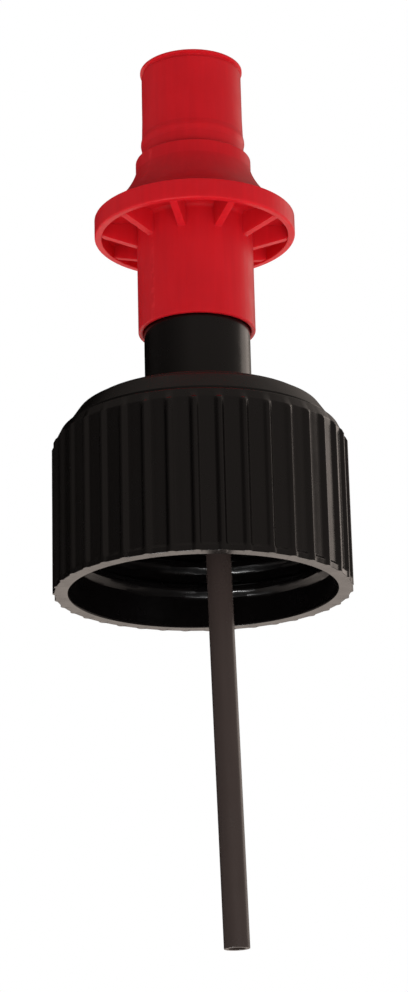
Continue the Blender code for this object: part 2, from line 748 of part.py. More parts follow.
add_piston(piston_axis, natural)
add_piston_seal(piston_axis, rubber)

add_piston_stem(head_axis, natural)
add_ring("stem_o_ring", 3.875, STEM_RING, 0.85, head_axis, rubber)
add_actuator(head_axis, red)
add_hose_collar(head_axis, red)
add_outlet_nipple(head_axis, black)
add_ring("nipple_o_ring", 4.35, BOSS_TOP - 0.6, 1.0, head_axis, rubber)
add_spring("outlet_spring", 1.7, OUTLET_WIRE, 97.95, BOSS_TOP - 1.75, 3.5, head_axis, steel)
add_ball("outlet_ball", outlet_axis, steel)
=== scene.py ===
import math

import bmesh
import bpy
from mathutils import Matrix, Vector


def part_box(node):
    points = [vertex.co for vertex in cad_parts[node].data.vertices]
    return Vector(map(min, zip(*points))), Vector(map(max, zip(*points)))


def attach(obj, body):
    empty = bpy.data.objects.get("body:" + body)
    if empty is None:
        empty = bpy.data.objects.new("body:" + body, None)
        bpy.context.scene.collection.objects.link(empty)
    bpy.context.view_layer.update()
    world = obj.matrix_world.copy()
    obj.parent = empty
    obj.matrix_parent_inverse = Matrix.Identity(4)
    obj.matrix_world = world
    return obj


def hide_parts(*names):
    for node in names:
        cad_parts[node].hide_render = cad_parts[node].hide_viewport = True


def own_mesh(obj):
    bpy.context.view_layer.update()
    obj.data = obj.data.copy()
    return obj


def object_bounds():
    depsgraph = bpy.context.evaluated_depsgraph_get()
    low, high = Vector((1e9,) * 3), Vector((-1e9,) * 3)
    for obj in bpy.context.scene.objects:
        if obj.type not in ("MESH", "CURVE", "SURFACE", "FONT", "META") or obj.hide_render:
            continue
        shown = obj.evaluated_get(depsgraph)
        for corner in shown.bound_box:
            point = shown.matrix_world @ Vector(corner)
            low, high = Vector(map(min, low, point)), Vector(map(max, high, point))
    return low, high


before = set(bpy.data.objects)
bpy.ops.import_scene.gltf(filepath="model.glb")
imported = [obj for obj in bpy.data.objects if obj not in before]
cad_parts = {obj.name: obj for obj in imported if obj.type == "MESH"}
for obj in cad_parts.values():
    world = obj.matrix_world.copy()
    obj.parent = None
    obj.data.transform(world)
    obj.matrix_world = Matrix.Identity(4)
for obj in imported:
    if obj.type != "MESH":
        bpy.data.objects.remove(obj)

# The looks of a hand pump for a bottle of gear oil. Lengths are in millimetres, and heights are
# measured from the cap's lower rim, whose place comes from the frame. An outline is a list of
# (radius, height, rounding) corners that runs down a piece's outer side and up its inner side.

MM = 0.001
cad_low, cad_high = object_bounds()
rim_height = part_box("screw_cap")[0].z / MM

# Grip ribs round the cap, the bottle thread inside it, the ribs under the finger flange, the
# gussets under the barrel's web, the ball cage's holes and the nipple's barbs. Angles are in
# degrees.
GRIP_RIBS = 38
FIRST_GRIP_RIB = 3.0
GRIP_DEPTH = 0.75
GRIP_TOP = 30.4
RIM_FLARE = 0.4
THREAD_PITCH = 5.0
THREAD_DEPTH = 1.35
THREAD_BOTTOM = 5.3
THREAD_TURNS = 3.25
THREAD_ROOM_BOTTOM = 2.8
THREAD_ROOM_TOP = 24.2
FIRST_THREAD_ANGLE = -90.0
FLANGE_RIBS = 10
FIRST_FLANGE_RIB = -66.5
WEB_GUSSETS = 8
FIRST_GUSSET = 22.5
CAGE_HOLES = 6
BARBS = 3

# Fits shared by neighbouring pieces. The piston and the guide set the barrel's two radii.
GAP = 0.3
BARREL_OVER_GUIDE = 0.25
BORE_OVER_PISTON = 0.35
PLUG_OVER_PISTON = 0.05
STEM_BORE = 2.4
STEM_HOLE = 4.45
VENT_HOLE = 1.3

# The camera's place, seen from the cap's rim, and its angles in degrees.
CAMERA_DISTANCE = 471.25
CAMERA_DROP = 132.65
CAMERA_SIDE = 0.58
CAMERA_PITCH = 17.9
CAMERA_ROLL = 1.4
CAMERA_LENS = 92.18
FLOOR_HEIGHT = -110.0

WHITE = (1.0, 1.0, 1.0, 1.0)
WARM = (1.0, 0.87, 0.78, 1.0)
BLACK = (0.0, 0.0, 0.0, 1.0)

# The studio's brightness. Matt surfaces see a soft dome, brighter below and behind the object.
DOME_LEVEL = 0.88
DOME_TO_RIGHT = 0.07
DOME_TO_BACK = 0.30
DOME_UPWARDS = -0.60

# Glossy surfaces see a dim room, darkest on the left and brightest low behind the object.
ROOM_LEFT = 0.05
ROOM_FRONT = 0.245
ROOM_RIGHT = 0.25
ROOM_BEHIND_LEFT = 0.005
ROOM_BEHIND_RIGHT = 0.42
ROOM_BELOW = 0.04
ROOM_LOW_BEHIND = 1.15


class Extent:
    """A CAD node's size: millimetres, with heights measured from the cap's rim."""

    def __init__(self, node):
        low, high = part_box(node)
        self.left = low.x / MM
        self.right = high.x / MM
        self.middle = (self.left + self.right) / 2
        self.radius = (high.y - low.y) / 2 / MM
        self.bottom = low.z / MM - rim_height
        self.top = high.z / MM - rim_height


# ---------------------------------------------------------------- outlines


def smooth(value):
    """An even ease from 0 to 1."""
    value = min(max(value, 0.0), 1.0)
    return value * value * (3.0 - 2.0 * value)


def mixed(first, second, share):
    """The value that lies a share of the way from first to second."""
    return first + (second - first) * share


def rounded_corner(before, here, after, radius, steps=5):
    """Points on an arc that rounds the corner at here and fits between its neighbours."""
    before, here, after = Vector(before), Vector(here), Vector(after)
    back, ahead = before - here, after - here
    half = back.angle(ahead) / 2
    if half > math.radians(89.0):
        return [tuple(here)]
    reach = min(radius / math.tan(half), 0.48 * back.length, 0.48 * ahead.length)
    centre = here + (back.normalized() + ahead.normalized()).normalized() * reach / math.cos(half)
    start = here + back.normalized() * reach - centre
    sweep = start.angle_signed(here + ahead.normalized() * reach - centre)
    points = []
    for step in range(steps + 1):
        spoke = start.copy()
        spoke.rotate(Matrix.Rotation(-sweep * step / steps, 2))
        points.append(tuple(centre + spoke))
    return points


def outline_of(corners, closed=True):
    """The points of an outline, with its corners rounded."""
    points = []
    for index, (radius, height, rounding) in enumerate(corners):
        at_end = not closed and index in (0, len(corners) - 1)
        if rounding == 0 or at_end:
            points.append((radius, height))
            continue
        before = corners[index - 1][:2]
        after = corners[(index + 1) % len(corners)][:2]
        points += rounded_corner(before, (radius, height), after, rounding)
    return points


def spread(points, longest):
    """The same open outline, with extra points so that no stretch is longer than a limit."""
    dense = [points[0]]
    for (r0, z0), (r1, z1) in zip(points, points[1:]):
        pieces = max(1, math.ceil(math.hypot(r1 - r0, z1 - z0) / longest))
        for piece in range(1, pieces + 1):
            dense.append((mixed(r0, r1, piece / pieces), mixed(z0, z1, piece / pieces)))
    return dense


def straightened(points, first, last):
    """Points on the straight edge from first to last, spaced like those of another outline."""
    lengths = [0.0]
    for (r0, z0), (r1, z1) in zip(points, points[1:]):
        lengths.append(lengths[-1] + math.hypot(r1 - r0, z1 - z0))
    shares = [length / lengths[-1] for length in lengths]
    return [(mixed(first[0], last[0], share), mixed(first[1], last[1], share)) for share in shares]


# ---------------------------------------------------------------- meshes


def mesh_object(name, vertices, faces):
    """An object from points in millimetres above the rim, with sharp edges kept crisp."""
    mesh = bpy.data.meshes.new(name)
    mesh.from_pydata([(x * MM, y * MM, (z + rim_height) * MM) for x, y, z in vertices], [], faces)
    shape = bmesh.new()
    shape.from_mesh(mesh)
    bmesh.ops.remove_doubles(shape, verts=shape.verts, dist=0.0005 * MM)
    bmesh.ops.recalc_face_normals(shape, faces=shape.faces)
    shape.to_mesh(mesh)
    shape.free()
    piece = bpy.data.objects.new(name, mesh)
    bpy.context.scene.collection.objects.link(piece)
    return piece


def grid_faces(rows, columns, closed):
    """Quads between rows of points that each run once round; closed joins the last row too."""
    faces = []
    for row in range(rows if closed else rows - 1):
        below = (row + 1) % rows
        for column in range(columns):
            beside = (column + 1) % columns
            corners = (row, column), (below, column), (below, beside), (row, beside)
            faces.append([r * columns + c for r, c in corners])
    return faces


def turned(name, corners, closed=True, columns=144, centre_x=0.0):
    """A piece turned about an upright axis."""
    outline = outline_of(corners, closed)
    vertices = []
    for radius, height in outline:
        for column in range(columns):
            angle = 2 * math.pi * column / columns
            x = centre_x + radius * math.cos(angle)
            vertices.append((x, radius * math.sin(angle), height))
    return mesh_object(name, vertices, grid_faces(len(outline), columns, closed))


def pin(name, radius, bottom, top, columns, centre_x=0.0):
    """A plain upright pin, to be cut out of another piece."""
    corners = [(0.0, top, 0), (radius, top, 0), (radius, bottom, 0), (0.0, bottom, 0)]
    return turned(name, corners, closed=False, columns=columns, centre_x=centre_x)


def rib_columns(half_width, flank, bay_columns):
    """The columns of one rib and of the bay after it.

    Each is (mm sideways or None, share of the bay or None, share of the rib's height).
    """
    steps = 5
    columns = []
    for step in range(steps + 1):
        columns.append((-half_width + flank * (step / steps - 0.5), None, smooth(step / steps)))
    columns.append((0.0, None, 1.0))
    for step in range(steps + 1):
        columns.append((half_width + flank * (step / steps - 0.5), None, smooth(1 - step / steps)))
    for step in range(1, bay_columns + 1):
        columns.append((None, step / (bay_columns + 1), 0.0))
    return columns


def ribbed(name, plain, raised, ribs, first_angle, half_width, flank, bay_columns, shift=None):
    """A turned piece whose outline swells from plain to raised at each of its ribs.

    shift gives a further change of radius for an angle, radius and height.
    """
    pitch = 2 * math.pi / ribs
    template = rib_columns(half_width, flank, bay_columns)
    vertices = []
    for (plain_r, plain_z), (raised_r, raised_z) in zip(plain, raised):
        for rib in range(ribs):
            rib_angle = math.radians(first_angle) + pitch * rib
            for sideways, share, weight in template:
                radius = mixed(plain_r, raised_r, weight)
                height = mixed(plain_z, raised_z, weight)
                if sideways is None:
                    margin = (half_width + flank / 2) / radius
                    angle = rib_angle + mixed(margin, pitch - margin, share)
                else:
                    angle = rib_angle + sideways / radius
                if shift:
                    radius += shift(angle, radius, height)
                vertices.append((radius * math.cos(angle), radius * math.sin(angle), height))
    faces = grid_faces(len(plain), ribs * len(template), True)
    return mesh_object(name, vertices, faces)


def swept(name, path, outer, inner=None, sides=40):
    """A tube along a path, or a solid rod when it has no inner radius."""
    points = [Vector(point) for point in path]
    rings = []
    across = Vector((0.0, 1.0, 0.0))
    for index, point in enumerate(points):
        ahead = (points[min(index + 1, len(points) - 1)] - points[max(index - 1, 0)]).normalized()
        across = (across - ahead * across.dot(ahead)).normalized()
        rings.append((point, across.copy(), ahead.cross(across)))
    rows = [(ring, outer) for ring in rings]
    if inner:
        rows += [(ring, inner) for ring in reversed(rings)]
    else:
        rows = [(rings[0], 0.0)] + rows + [(rings[-1], 0.0)]
    vertices = []
    for (point, side, other), radius in rows:
        for column in range(sides):
            angle = 2 * math.pi * column / sides
            vertices.append(point + (side * math.cos(angle) + other * math.sin(angle)) * radius)
    return mesh_object(name, vertices, grid_faces(len(rows), sides, bool(inner)))


def carved(piece, cuts=(), unions=()):
    """Join shapes to a piece and cut others out of it, for good."""
    for operation, shapes in (("UNION", unions), ("DIFFERENCE", cuts)):
        for shape in shapes:
            modifier = piece.modifiers.new(shape.name, "BOOLEAN")
            modifier.operation = operation
            modifier.solver = "EXACT"
            modifier.object = shape
    graph = bpy.context.evaluated_depsgraph_get()
    mesh = bpy.data.meshes.new_from_object(piece.evaluated_get(graph))
    piece.modifiers.clear()
    piece.data = mesh
    for shape in [*cuts, *unions]:
        bpy.data.objects.remove(shape, do_unlink=True)
    return piece


def finished(piece, body, material, slot, *nodes):
    """Shade a piece, put it on its body and let it stand for its CAD nodes."""
    piece.data.materials.clear()
    piece.data.materials.append(material)
    piece.data.shade_smooth()
    piece.data.set_sharp_from_angle(angle=math.radians(40.0))
    normals = piece.modifiers.new("normals", "WEIGHTED_NORMAL")
    normals.keep_sharp = True
    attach(piece, body)
    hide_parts(*nodes)


# ---------------------------------------------------------------- materials


class Nodes:
    """Short ways to add shader nodes to a material's tree and link them."""

    def __init__(self, tree):
        self.tree = tree
        self.coordinates = tree.nodes.new("ShaderNodeTexCoord").outputs

    def feed(self, target, value):
        """Link another node's output to an input, or set the input to a plain value."""
        if isinstance(value, bpy.types.NodeSocket):
            self.tree.links.new(value, target)
        else:
            target.default_value = value

    def math(self, operation, first, second=0.0):
        node = self.tree.nodes.new("ShaderNodeMath")
        node.operation = operation
        self.feed(node.inputs[0], first)
        self.feed(node.inputs[1], second)
        return node.outputs[0]

    def noise(self, size, detail=3.0, stretch=1.0):
        """A noise with blotches about size millimetres wide, and stretch times as tall."""
        mapping = self.tree.nodes.new("ShaderNodeMapping")
        self.feed(mapping.inputs["Vector"], self.coordinates["Object"])
        scale = 1.0 / (size * MM)
        mapping.inputs["Scale"].default_value = (scale, scale, scale / stretch)
        node = self.tree.nodes.new("ShaderNodeTexNoise")
        self.feed(node.inputs["Vector"], mapping.outputs[0])
        node.inputs["Scale"].default_value = 1.0
        node.inputs["Detail"].default_value = detail
        return node.outputs["Fac"]

    def ranged(self, value, low, high, low_result, high_result):
        """Value mapped from low..high to low_result..high_result, and held at the ends."""
        node = self.tree.nodes.new("ShaderNodeMapRange")
        for socket, number in zip(node.inputs, (value, low, high, low_result, high_result)):
            self.feed(socket, number)
        return node.outputs["Result"]

    def mixed(self, share, first, second):
        """A number that goes from first to second as share goes from 0 to 1."""
        node = self.tree.nodes.new("ShaderNodeMix")
        self.feed(node.inputs[0], share)
        self.feed(node.inputs[2], first)
        self.feed(node.inputs[3], second)
        return node.outputs[0]

    def blend(self, share, first, second):
        """The same for colours."""
        node = self.tree.nodes.new("ShaderNodeMix")
        node.data_type = "RGBA"
        node.clamp_factor = False
        self.feed(node.inputs["Factor"], share)
        self.feed(node.inputs[6], first)
        self.feed(node.inputs[7], second)
        return node.outputs[2]

    def bump(self, height, distance):
        """Surface relief of about distance millimetres."""
        node = self.tree.nodes.new("ShaderNodeBump")
        self.feed(node.inputs["Height"], height)
        node.inputs["Distance"].default_value = distance * MM
        return node.outputs["Normal"]


def new_material(name):
    """A new material, the helper for its nodes, and its surface shader."""
    material = bpy.data.materials.new(name)
    material.use_nodes = True
    tree = material.node_tree
    return material, Nodes(tree), tree.nodes["Principled BSDF"]


def toned(colour, gain, lift=0.0):
    """A colour made lighter or darker."""
    return tuple(min(1.0, channel * gain + lift) for channel in colour[:3]) + (1.0,)


def moulded_plastic(name, colour, roughness, shine=0.5, glow=0.0, grain=0.06, wear=0.3):
    """Moulded plastic: faint flow streaks, uneven gloss, orange peel, and scuffed edges.

    glow is the share of the light that spreads inside the plastic before it comes out, grain the
    share of fine relief in the orange peel, and wear how far the edges are scuffed.
    """
    material, nodes, shader = new_material(name)
    flow = nodes.math("ADD", nodes.noise(10.0), nodes.noise(1.2, 2.0, stretch=12.0))
    streaks = nodes.ranged(flow, 0.8, 1.2, 0.0, 1.0)
    body = nodes.blend(streaks, colour, toned(colour, 0.92))

    ridge = nodes.tree.nodes.new("ShaderNodeNewGeometry").outputs["Pointiness"]
    scuffs = nodes.ranged(nodes.noise(0.9, 6.0), 0.42, 0.62, 0.0, wear)
    rubbed = nodes.math("MULTIPLY", nodes.ranged(ridge, 0.53, 0.62, 0.0, 1.0), scuffs)
    nodes.feed(shader.inputs["Base Color"], nodes.blend(rubbed, body, toned(colour, 1.4, 0.03)))

    gloss = nodes.ranged(nodes.noise(4.0, 5.0), 0.35, 0.65, roughness * 0.88, roughness * 1.15)
    dulled = nodes.math("ADD", gloss, nodes.math("MULTIPLY", rubbed, 0.3))
    nodes.feed(shader.inputs["Roughness"], dulled)

    shader.inputs["Specular IOR Level"].default_value = shine
    shader.inputs["Subsurface Weight"].default_value = glow
    shader.inputs["Subsurface Radius"].default_value = (1.0, 0.15, 0.10)
    shader.inputs["Subsurface Scale"].default_value = 3.0 * MM

    fine = nodes.math("MULTIPLY", nodes.noise(0.35, 2.0), grain)
    peel = nodes.math("ADD", nodes.noise(4.5, 1.0), fine)
    nodes.feed(shader.inputs["Normal"], nodes.bump(peel, 0.05))
    return material


def rubber(name, colour, roughness):
    """Matt rubber with a little pale dust."""
    material, nodes, shader = new_material(name)
    dust = nodes.ranged(nodes.noise(1.6, 6.0), 0.45, 0.70, 0.0, 1.0)
    nodes.feed(shader.inputs["Base Color"], nodes.blend(dust, colour, toned(colour, 2.0, 0.004)))
    dulled = nodes.ranged(dust, 0.0, 1.0, roughness, roughness + 0.12)
    nodes.feed(shader.inputs["Roughness"], dulled)
    nodes.feed(shader.inputs["Normal"], nodes.bump(nodes.noise(0.3, 4.0), 0.02))
    return material


def drawn_steel():
    """Bright stainless steel with fine drawing marks."""
    material, nodes, shader = new_material("steel")
    marks = nodes.noise(0.5, 4.0, stretch=0.2)
    tone = nodes.ranged(marks, 0.3, 0.7, 0.0, 1.0)
    shade = nodes.blend(tone, (0.58, 0.58, 0.59, 1.0), (0.72, 0.72, 0.73, 1.0))
    nodes.feed(shader.inputs["Base Color"], shade)
    polish = nodes.ranged(nodes.noise(1.0, 4.0), 0.3, 0.7, 0.16, 0.30)
    nodes.feed(shader.inputs["Roughness"], polish)
    nodes.feed(shader.inputs["Normal"], nodes.bump(marks, 0.003))
    shader.inputs["Metallic"].default_value = 1.0
    return material


# ---------------------------------------------------------------- closure


def thread_shift(bore):
    """A function that tells how far the bottle thread stands in from the skirt's bore.

    The ridge is crest and root millimetres wide to each side of its middle at its top and foot,
    and run_out is the share of a turn over which it fades at both ends.
    """
    crest, root = 0.5, 1.75
    run_out = 0.07
    highest = THREAD_BOTTOM + THREAD_PITCH * (THREAD_TURNS + 1)

    def shift(angle, radius, height):
        if abs(radius - bore) > 0.3 or height > highest:
            return 0.0
        first = (angle - math.radians(FIRST_THREAD_ANGLE)) / (2 * math.pi) % 1.0
        inward = 0.0
        for turn in range(math.ceil(THREAD_TURNS)):
            along = first + turn
            away = abs(height - THREAD_BOTTOM - THREAD_PITCH * along)
            ends = smooth(along / run_out) * smooth((THREAD_TURNS - along) / run_out)
            inward = max(inward, ends * smooth((root - away) / (root - crest)))
        return -THREAD_DEPTH * inward

    return shift


def cap_outside(cap, hole, valley, bore):
    """The cap's outline from the hole in its deck, over its shoulder and down to the thread."""
    deck_radius = cap.radius - 6.6
    deck = cap.top - 0.4
    corners = [
        (hole, cap.top, 0),
        (hole + 0.9, cap.top, 0.25),
        (hole + 1.2, deck, 0.3),
        (deck_radius, deck, 0.45),
        (deck_radius + 0.3, deck - 0.75, 0.25),
        (deck_radius + 1.5, deck - 0.95, 0.5),
        (deck_radius + 2.1, deck - 1.8, 0.8),
        (deck_radius + 3.9, deck - 4.45, 0.2),
        (deck_radius + 3.8, deck - 4.8, 0.1),
        (deck_radius + 4.3, deck - 5.05, 0.3),
        (deck_radius + 5.0, deck - 5.3, 0.4),
        (valley, deck - 7.25, 0.8),
        (valley, GRIP_TOP - 1.3, 0),
        (valley, 1.6, 0.4),
        (valley + RIM_FLARE, 1.0, 0.3),
        (valley + RIM_FLARE, 0.0, 0.12),
        (bore + 0.1, 0.0, 0.1),
        (bore, 0.3, 0.1),
        (bore, THREAD_ROOM_BOTTOM, 0),
    ]
    return outline_of(corners, closed=False)


def cap_inside(cap, hole, bore):
    """The cap's outline from above the thread, under its shoulder, to the hole in its deck."""
    hub = bore - 4.0
    hub_ceiling = 33.7
    shoulder_ceiling = Extent("barrel").bottom + 10.5
    corners = [
        (bore, THREAD_ROOM_TOP, 0),
        (bore, shoulder_ceiling, 0.4),
        (hub, shoulder_ceiling, 0.2),
        (hub, hub_ceiling, 0.5),
        (hole, hub_ceiling, 0.2),
        (hole, cap.top, 0),
    ]
    return outline_of(corners, closed=False)


def build_screw_cap(material):
    cap = Extent("screw_cap")
    hole = Extent("barrel_collar").radius + BARREL_OVER_GUIDE + GAP
    valley = cap.radius - GRIP_DEPTH
    bore = cap.radius - 3.0
    outside = cap_outside(cap, hole, valley, bore)
    threaded = spread([(bore, THREAD_ROOM_BOTTOM), (bore, THREAD_ROOM_TOP)], 0.4)
    plain = outside[:-1] + threaded[:-1] + cap_inside(cap, hole, bore)[:-1]
    raised = []
    for radius, height in plain:
        stands = smooth((radius - valley + 0.9) / 0.5) * smooth((GRIP_TOP - height) / 1.1)
        crest = cap.radius - max(0.0, valley - radius)
        raised.append((mixed(radius, max(radius, crest), stands), height))
    piece = ribbed(
        "cap_shell",
        plain,
        raised,
        GRIP_RIBS,
        FIRST_GRIP_RIB,
        half_width=0.62,
        flank=0.95,
        bay_columns=3,
        shift=thread_shift(bore),
    )
    finished(piece, "cap", material, "black_plastic", "screw_cap")


def build_liner(material):
    liner = Extent("cap_liner")
    inner = liner.radius - 4.6
    corners = [
        (liner.radius, liner.top, 0.1),
        (liner.radius, liner.bottom, 0.35),
        (inner, liner.bottom, 0.35),
        (inner, liner.top, 0.1),
    ]
    finished(turned("liner_ring", corners), "barrel", material, "rubber", "cap_liner")


# ---------------------------------------------------------------- barrel and foot


def build_barrel(material):
    """The barrel with its sealing web, the ring that centres the cap, and gussets."""
    barrel = Extent("barrel")
    liner = Extent("cap_liner")
    web_radius = liner.radius + 0.1
    neck = Extent("barrel_collar").radius + BARREL_OVER_GUIDE
    bore = Extent("piston").radius + BORE_OVER_PISTON
    web_bottom = liner.top + GAP
    web_top = web_bottom + 2.4
    ring_top = web_top + 4.6
    ring_inside = 20.0
    ring_outside = 21.7
    gusset_foot = web_bottom - 5.8
    gusset_reach = 19.4
    web_end = gusset_reach + 0.3
    above = outline_of(
        [
            (bore, barrel.top, 0),
            (neck, barrel.top, 0.3),
            (neck, web_top, 0.8),
            (ring_inside, web_top, 0.5),
            (ring_inside, ring_top, 0.3),
            (ring_outside, ring_top, 0.3),
            (ring_outside, web_top, 0.3),
            (web_radius, web_top, 0.3),
            (web_radius, web_bottom, 0.3),
            (web_end, web_bottom, 0),
        ],
        closed=False,
    )
    corner = outline_of(
        [(web_end, web_bottom, 0), (neck, web_bottom, 0.8), (neck, gusset_foot, 0)],
        closed=False,
    )
    corner = spread(corner, 0.9)
    below = outline_of(
        [
            (neck, gusset_foot, 0),
            (neck, barrel.bottom, 0.3),
            (bore, barrel.bottom, 0.3),
            (bore, barrel.top, 0),
        ],
        closed=False,
    )
    plain = above[:-1] + corner[:-1] + below[:-1]
    slanted = straightened(corner, (gusset_reach, web_bottom - 0.6), (neck, gusset_foot))
    raised = above[:-1] + slanted[:-1] + below[:-1]
    shell = ribbed(
        "barrel_shell",
        plain,
        raised,
        WEB_GUSSETS,
        FIRST_GUSSET,
        half_width=0.65,
        flank=0.2,
        bay_columns=16,
    )
    vent_x = Extent("vent_valve").middle
    vent = pin("vent_hole", VENT_HOLE, web_bottom - 1.0, web_top + 1.0, 48, vent_x)
    finished(carved(shell, cuts=[vent]), "barrel", material, "black_plastic", "barrel")


def build_foot_valve(material):
    """The plug in the barrel's foot, with its O-ring groove, ball seat and dip tube socket."""
    foot = Extent("foot_valve_body")
    ring = Extent("foot_o_ring")
    tube = Extent("dip_tube")
    tube_x = tube.left + tube.radius
    plug_radius = Extent("piston").radius + PLUG_OVER_PISTON
    groove_radius = plug_radius - 1.2
    flange_bottom = foot.bottom + 7.2
    flange_top = flange_bottom + 1.8
    plug_corners = [
        (0.0, foot.top, 0),
        (plug_radius, foot.top, 0.4),
        (plug_radius, ring.top + GAP, 0.1),
        (groove_radius, ring.top + GAP, 0.1),
        (groove_radius, ring.bottom - GAP, 0.1),
        (plug_radius, ring.bottom - GAP, 0.1),
        (plug_radius, flange_top, 0.1),
        (foot.radius, flange_top, 0.3),
        (foot.radius, flange_bottom, 0.3),
        (0.0, flange_bottom, 0),
    ]
    socket_radius = 4.4
    socket_top = flange_bottom + 0.7
    socket_corners = [
        (0.0, socket_top, 0),
        (socket_radius, socket_top, 0),
        (socket_radius, foot.bottom, 0.4),
        (0.0, foot.bottom, 0),
    ]
    chamber = 3.1
    port = 1.5
    seat_top = flange_bottom + 0.75
    passage_corners = [
        (0.0, foot.top + 1.0, 0),
        (chamber, foot.top + 1.0, 0),
        (chamber, seat_top, 0),
        (port, seat_top - (chamber - port), 0),
        (port, tube.top + GAP, 0),
        (tube.radius + 0.2, tube.top + GAP, 0),
        (tube.radius + 0.2, foot.bottom + 0.5, 0),
        (tube.radius + 0.5, foot.bottom - 0.5, 0),
        (0.0, foot.bottom - 0.5, 0),
    ]
    body = turned("foot_plug", plug_corners, closed=False, columns=96)
    socket = turned("tube_socket", socket_corners, closed=False, columns=72, centre_x=tube_x)
    passage = turned("inlet_passage", passage_corners, closed=False, columns=60, centre_x=tube_x)
    piece = carved(body, cuts=[passage], unions=[socket])
    finished(piece, "barrel", material, "black_plastic", "foot_valve_body")


def build_ball_cage(material):
    """The perforated disc over the inlet ball."""
    cage = Extent("inlet_ball_cage")
    ball = Extent("inlet_ball")
    corners = [
        (0.0, cage.top, 0),
        (cage.radius, cage.top, 0.3),
        (cage.radius, cage.bottom, 0.15),
        (0.0, cage.bottom, 0),
    ]
    hole_radius = 0.85
    ring_radius = 2.1
    holes = []
    for index in range(CAGE_HOLES):
        angle = 2 * math.pi * index / CAGE_HOLES
        hole = pin("cage_hole", hole_radius, cage.bottom - 0.5, cage.top + 0.5, 32)
        along = ball.middle + ring_radius * math.cos(angle)
        hole.location = Vector((along, ring_radius * math.sin(angle), 0.0)) * MM
        holes.append(hole)
    disc = turned("cage_disc", corners, closed=False, columns=72)
    finished(carved(disc, cuts=holes), "barrel", material, "natural_plastic", "inlet_ball_cage")


def build_vent_valve(material):
    valve = Extent("vent_valve")
    head = 1.7
    stalk = 0.95
    skirt = valve.bottom + 1.1
    corners = [
        (0.0, valve.top, 0),
        (0.9, valve.top - 0.3, 0.3),
        (head, valve.top - 1.3, 0.3),
        (head, valve.top - 1.8, 0.1),
        (stalk, valve.top - 1.8, 0.1),
        (stalk, skirt, 0.1),
        (valve.radius, skirt, 0.1),
        (valve.radius, skirt - 0.3, 0.1),
        (1.6, valve.bottom + 0.2, 0.8),
        (0.0, valve.bottom, 0),
    ]
    piece = turned("vent_umbrella", corners, closed=False, columns=64, centre_x=valve.middle)
    finished(piece, "barrel", material, "rubber", "vent_valve")


def build_dip_tube(material):
    """The tube stands upright in its socket, bends over a short stretch and then runs straight."""
    tube = Extent("dip_tube")
    wall = 0.8
    start_x = tube.left + tube.radius
    end_x = tube.right - tube.radius
    bend_top = tube.top - 2.9
    bend_length = 11.0
    bend_bottom = bend_top - bend_length
    slope = (end_x - start_x) / (bend_length / 2 + bend_bottom - tube.bottom)
    path = []
    rows = 60
    for row in range(rows + 1):
        height = mixed(tube.top, tube.bottom, row / rows)
        bent = min(max(bend_top - height, 0.0), bend_length)
        straight = max(bend_bottom - height, 0.0)
        shift = slope * (bent * bent / 2 / bend_length + straight)
        path.append((start_x + shift, 0.0, height))
    piece = swept("tube_shell", path, tube.radius, tube.radius - wall, sides=64)
    bevel = piece.modifiers.new("cut_edge", "BEVEL")
    bevel.width = 0.08 * MM
    bevel.segments = 2
    bevel.angle_limit = math.radians(60.0)
    finished(piece, "barrel", material, "tube_plastic", "dip_tube")


# ---------------------------------------------------------------- head


def bell_points(top_radius, foot_radius, top, foot):
    """The concave flare from the deck's edge out to the finger flange, from the top down."""
    steps = 24
    points = []
    for step in range(1, steps + 1):
        fall = step / steps
        share = 0.66 * fall ** 1.3 + 0.34 * fall ** 4
        points.append((mixed(top_radius, foot_radius, share), mixed(top, foot, fall)))
    return points


def deck_outline(head, deck, sleeve, boss_bore, bell_top):
    """The head's outline from the boss, over the ring the collar snaps on, to the bell."""
    boss = 6.6
    ring_bore = 7.8
    ring = 8.9
    corners = [
        (boss_bore, head.top, 0),
        (boss, head.top, 0.3),
        (boss, deck, 0.4),
        (ring_bore, deck, 0.3),
        (ring_bore, deck + 4.7, 0.2),
        (ring - 0.2, deck + 4.7, 0.3),
        (ring + 0.3, deck + 3.6, 0.2),
        (ring, deck + 3.0, 0.2),
        (ring, deck, 0.3),
        (sleeve, deck, 0.3),
        (sleeve, bell_top, 0),
    ]
    return outline_of(corners, closed=False)


def sleeve_outline(head, rib_foot, sleeve, boss_bore, ceiling):
    """The head's outline down the sleeve, up its bore and through the outlet valve's chamber."""
    stem = Extent("piston_stem")
    bore = Extent("barrel_collar").radius + 0.45
    stem_hole = stem.radius - 0.9
    port = 1.8
    chamber = 3.7
    seat = stem.top + 0.8
    corners = [
        (sleeve, rib_foot, 0),
        (sleeve, head.bottom, 0.3),
        (bore, head.bottom, 0.3),
        (bore, ceiling, 0.4),
        (stem_hole, ceiling, 0.1),
        (stem_hole, stem.top + GAP, 0.2),
        (port, stem.top + GAP, 0.1),
        (port, seat, 0.1),
        (chamber, seat + chamber - port, 0.1),
        (chamber, head.top - 1.4, 0.1),
        (boss_bore, head.top - 1.4, 0.2),
        (boss_bore, head.top, 0),
    ]
    return outline_of(corners, closed=False)


